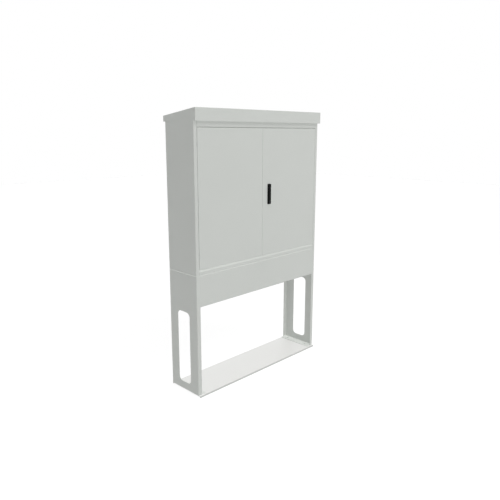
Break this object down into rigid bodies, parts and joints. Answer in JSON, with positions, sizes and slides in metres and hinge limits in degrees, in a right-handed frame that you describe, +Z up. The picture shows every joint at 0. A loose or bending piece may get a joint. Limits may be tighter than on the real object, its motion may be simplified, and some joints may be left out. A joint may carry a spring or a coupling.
{
  "type": "floor-standing distribution cabinet",
  "caption": "Sheet steel cable distribution cabinet on an open stand, with a sloping roof, hinged doors, swing handle, rack-driven lock rods, busbars and fuse rails.",
  "frame": {"origin": "under the middle of the roof, at the height of the surface that the base plate stands on", "axes": "+Z up, doors face -Y, +X towards the door with the handle"},
  "size_m": [1.066, 0.281, 1.6416],
  "materials": {
    "casing_paint": "satin light grey powder coat",
    "base_paint": "satin light grey powder coat",
    "zinc_steel": "zinc plated",
    "handle_black": "fine grained black glass-filled nylon",
    "lock_black": "black chromed zinc die casting",
    "plug_black": "black nickelled brass",
    "seal_rubber": "foamed rubber",
    "bar_copper": "bright drawn copper",
    "insulator_resin": "moulded polyester resin",
    "rail_plastic": "moulded thermoplastic",
    "link_ceramic": "unglazed steatite",
    "clamp_plastic": "moulded nylon"
  },
  "bodies": {
    "cabinet": {"base_plate": "base_paint", "stand_left_panel": "casing_paint", "stand_right_panel": "casing_paint", "front_skirt": "casing_paint", "rear_skirt": "casing_paint", "cable_clamp_rail": "zinc_steel", "cable_clamps": "clamp_plastic", "casing_bolts": "zinc_steel", "left_side_wall": "casing_paint", "right_side_wall": "casing_paint", "back_wall": "casing_paint", "casing_top": "casing_paint", "casing_sill": "casing_paint", "centre_post": "zinc_steel", "post_plates": "zinc_steel", "roof_hood": "casing_paint", "roof_rafters": "zinc_steel", "left_hinge_brackets": "zinc_steel", "right_hinge_brackets": "zinc_steel", "mounting_uprights": "zinc_steel", "busbar_insulators": "insulator_resin", "phase_busbar_1": "bar_copper", "phase_busbar_2": "bar_copper", "phase_busbar_3": "bar_copper", "fuse_rail_1": "rail_plastic", "fuse_rail_2": "rail_plastic", "fuse_rail_3": "rail_plastic", "fuse_rail_4": "rail_plastic", "fuse_links_1": "link_ceramic", "fuse_links_2": "link_ceramic", "fuse_links_3": "link_ceramic", "fuse_links_4": "link_ceramic", "fuse_contacts": "bar_copper", "neutral_busbar": "bar_copper", "neutral_brackets": "zinc_steel"},
    "left_door": {"left_door_panel": "casing_paint", "left_door_seal": "seal_rubber", "left_door_stiffener": "zinc_steel", "left_hinge_pins": "zinc_steel", "upper_bolt_bracket": "zinc_steel", "lower_bolt_bracket": "zinc_steel"},
    "right_door": {"right_door_panel": "casing_paint", "right_door_seal": "seal_rubber", "right_door_stiffener": "zinc_steel", "right_hinge_pins": "zinc_steel", "handle_base": "handle_black", "lock_case": "zinc_steel"},
    "handle_hub": {"handle_hub": "handle_black", "spindle": "zinc_steel", "drive_pinion": "zinc_steel", "lever_pin": "zinc_steel"},
    "handle_lever": {"handle_lever": "handle_black", "lock_cylinder": "lock_black"},
    "key_plug": {"key_plug": "plug_black"},
    "upper_lock_rod": {"upper_lock_rod": "zinc_steel"},
    "lower_lock_rod": {"lower_lock_rod": "zinc_steel"},
    "upper_slide_bolt": {"upper_slide_bolt": "zinc_steel"},
    "lower_slide_bolt": {"lower_slide_bolt": "zinc_steel"}
  },
  "joints": [
    {"name": "left_door_hinge", "type": "hinge", "parent": "cabinet", "child": "left_door", "pos_m": [-0.4977, -0.115, 1.148], "axis": [0, 0, -1], "range_deg": [0, 110]},
    {"name": "right_door_hinge", "type": "hinge", "parent": "cabinet", "child": "right_door", "pos_m": [0.4977, -0.115, 1.148], "axis": [0, 0, 1], "range_deg": [0, 110]},
    {"name": "handle_turn", "type": "hinge", "parent": "right_door", "child": "handle_hub", "pos_m": [0.0565, -0.1215, 1.1805], "axis": [0, -1, 0], "range_deg": [0, 90]},
    {"name": "handle_lift", "type": "hinge", "parent": "handle_hub", "child": "handle_lever", "pos_m": [0.0565, -0.12675, 1.1805], "axis": [-1, 0, 0], "range_deg": [0, 35]},
    {"name": "key_turn", "type": "hinge", "parent": "handle_lever", "child": "key_plug", "pos_m": [0.0565, -0.12675, 1.0935], "axis": [0, -1, 0], "range_deg": [0, 90]},
    {"name": "upper_rod_slide", "type": "slide", "parent": "right_door", "child": "upper_lock_rod", "axis": [0, 0, 1], "range_m": [-0.0189, 0]},
    {"name": "lower_rod_slide", "type": "slide", "parent": "right_door", "child": "lower_lock_rod", "axis": [0, 0, 1], "range_m": [0, 0.0189]},
    {"name": "upper_bolt_slide", "type": "slide", "parent": "left_door", "child": "upper_slide_bolt", "axis": [0, 0, 1], "range_m": [0, 0.014]},
    {"name": "lower_bolt_slide", "type": "slide", "parent": "left_door", "child": "lower_slide_bolt", "axis": [0, 0, -1], "range_m": [0, 0.014]}
  ],
  "couplings": [
    {"joint": "upper_rod_slide", "follows": "handle_turn", "m_per_rad": -0.012},
    {"joint": "lower_rod_slide", "follows": "handle_turn", "m_per_rad": 0.012}
  ]
}
